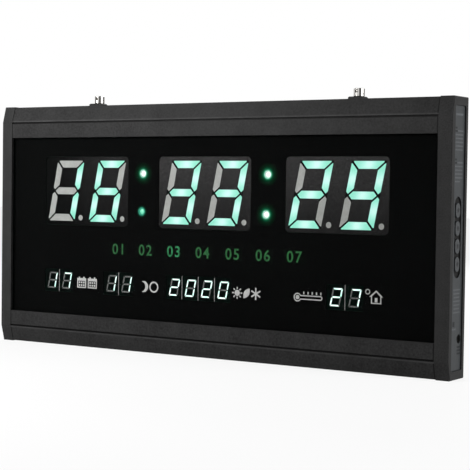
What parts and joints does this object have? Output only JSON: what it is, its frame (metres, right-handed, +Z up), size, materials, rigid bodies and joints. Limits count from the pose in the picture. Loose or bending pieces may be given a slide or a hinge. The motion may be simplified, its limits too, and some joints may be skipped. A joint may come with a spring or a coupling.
{
  "type": "digital calendar wall clock",
  "caption": "Wide black wall clock with a tinted window, large green time digits, a weekday row, a calendar row with temperature, side push buttons and hanging posts on top.",
  "frame": {"origin": "centre of the back face, which lies against the wall", "axes": "+X to the viewer's right, +Y from the viewer into the wall, +Z up"},
  "size_m": [0.46, 0.03, 0.2292],
  "materials": {
    "frame_paint": "fine textured matte black",
    "cap_plastic": "fine textured matte black",
    "panel_tint": "polished dark tint",
    "card_black": "matte",
    "cover_black": "matte",
    "plate_grey": "satin",
    "module_grey": "matte",
    "segment_lit": "glowing",
    "segment_dark": "satin",
    "lamp_green": "glowing",
    "film_green": "matte",
    "divider_grey": "matte",
    "light_box_white": "matte",
    "board_green": "satin",
    "package_black": "matte",
    "button_grey": "satin",
    "nickel": "polished nickel",
    "steel": "zinc plated",
    "brass": "plain",
    "can_aluminium": "satin",
    "ribbon_grey": "matte"
  },
  "bodies": {
    "clock_body": {"top_rail": "frame_paint", "bottom_rail": "frame_paint", "left_end_cap": "cap_plastic", "right_end_cap": "cap_plastic", "end_cap_screws": "steel", "front_panel": "panel_tint", "display_card": "card_black", "back_cover": "cover_black", "back_cover_screws": "steel", "control_plate": "plate_grey", "hanger_pads": "cap_plastic", "hanger_posts": "nickel", "hanger_screws": "steel", "colon_lamps": "lamp_green", "weekday_light_box": "light_box_white", "weekday_films": "film_green", "weekday_lamps": "lamp_green", "calendar_segments_lit": "segment_lit", "calendar_segments_dark": "segment_dark", "digit_dividers": "divider_grey", "main_board": "board_green", "board_standoffs": "brass", "board_screws": "steel", "microcontroller": "package_black", "clock_chip": "package_black", "driver_chips": "package_black", "coin_cell_holder": "package_black", "coin_cell": "steel", "buzzer": "package_black", "capacitors": "can_aluminium", "voltage_regulator": "package_black", "temperature_sensor": "package_black", "control_board": "board_green", "control_board_screws": "steel", "switch_bodies": "package_black", "dc_jack": "package_black", "dc_jack_pin": "brass", "ribbon_cable": "ribbon_grey", "hour_module": "module_grey", "hour_segments_lit": "segment_lit", "hour_segments_dark": "segment_dark", "minute_module": "module_grey", "minute_segments_lit": "segment_lit", "minute_segments_dark": "segment_dark", "second_module": "module_grey", "second_segments_lit": "segment_lit", "second_segments_dark": "segment_dark", "date_modules": "card_black", "month_modules": "card_black", "year_modules": "card_black", "temperature_modules": "card_black"},
    "set_button_body": {"set_button": "button_grey", "set_plunger": "package_black"},
    "up_button_body": {"up_button": "button_grey", "up_plunger": "package_black"},
    "down_button_body": {"down_button": "button_grey", "down_plunger": "package_black"},
    "alarm_button_body": {"alarm_button": "button_grey", "alarm_plunger": "package_black"}
  },
  "joints": [
    {"name": "set_press", "type": "slide", "parent": "clock_body", "child": "set_button_body", "axis": [-1, 0, 0], "range_m": [0, 0.0005], "stiffness_N_per_m": 4000, "springref_m": -0.0001},
    {"name": "up_press", "type": "slide", "parent": "clock_body", "child": "up_button_body", "axis": [-1, 0, 0], "range_m": [0, 0.0005], "stiffness_N_per_m": 4000, "springref_m": -0.0001},
    {"name": "down_press", "type": "slide", "parent": "clock_body", "child": "down_button_body", "axis": [-1, 0, 0], "range_m": [0, 0.0005], "stiffness_N_per_m": 4000, "springref_m": -0.0001},
    {"name": "alarm_press", "type": "slide", "parent": "clock_body", "child": "alarm_button_body", "axis": [-1, 0, 0], "range_m": [0, 0.0005], "stiffness_N_per_m": 4000, "springref_m": -0.0001}
  ]
}
